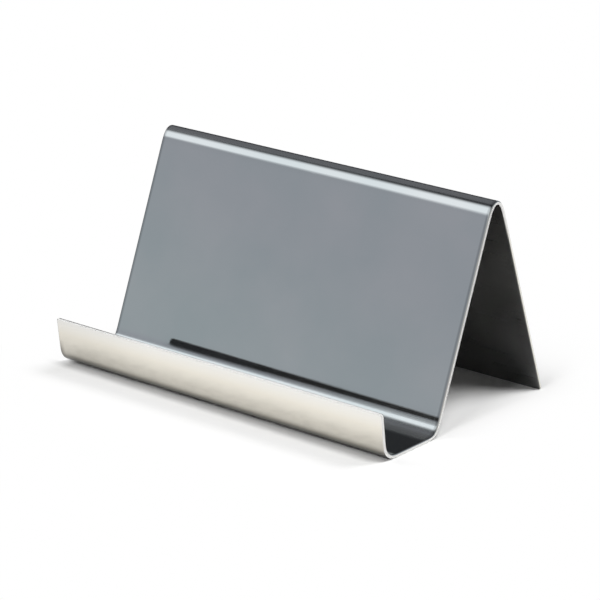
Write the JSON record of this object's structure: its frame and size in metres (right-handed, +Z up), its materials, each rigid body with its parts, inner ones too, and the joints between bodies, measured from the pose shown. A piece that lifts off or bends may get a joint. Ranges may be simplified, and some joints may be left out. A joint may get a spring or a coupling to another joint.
{
  "type": "business card holder stand",
  "caption": "Free-standing desk stand for business cards, folded from polished sheet steel: a front lip, a flat tray floor, a back panel that leans back and a rear leg that props it up.",
  "frame": {"origin": "on the table under the middle of the stand: half way along the folds, and half way between the lip's front and the foot's rear edge", "axes": "+X along the folds, to the right as seen from the lip's side; +Y from the lip to the rear leg; +Z up"},
  "size_m": [0.095, 0.0548, 0.0474],
  "materials": {
    "polished_steel": "polished"
  },
  "bodies": {
    "root": {"stand_sheet": "polished_steel"}
  },
  "joints": []
}
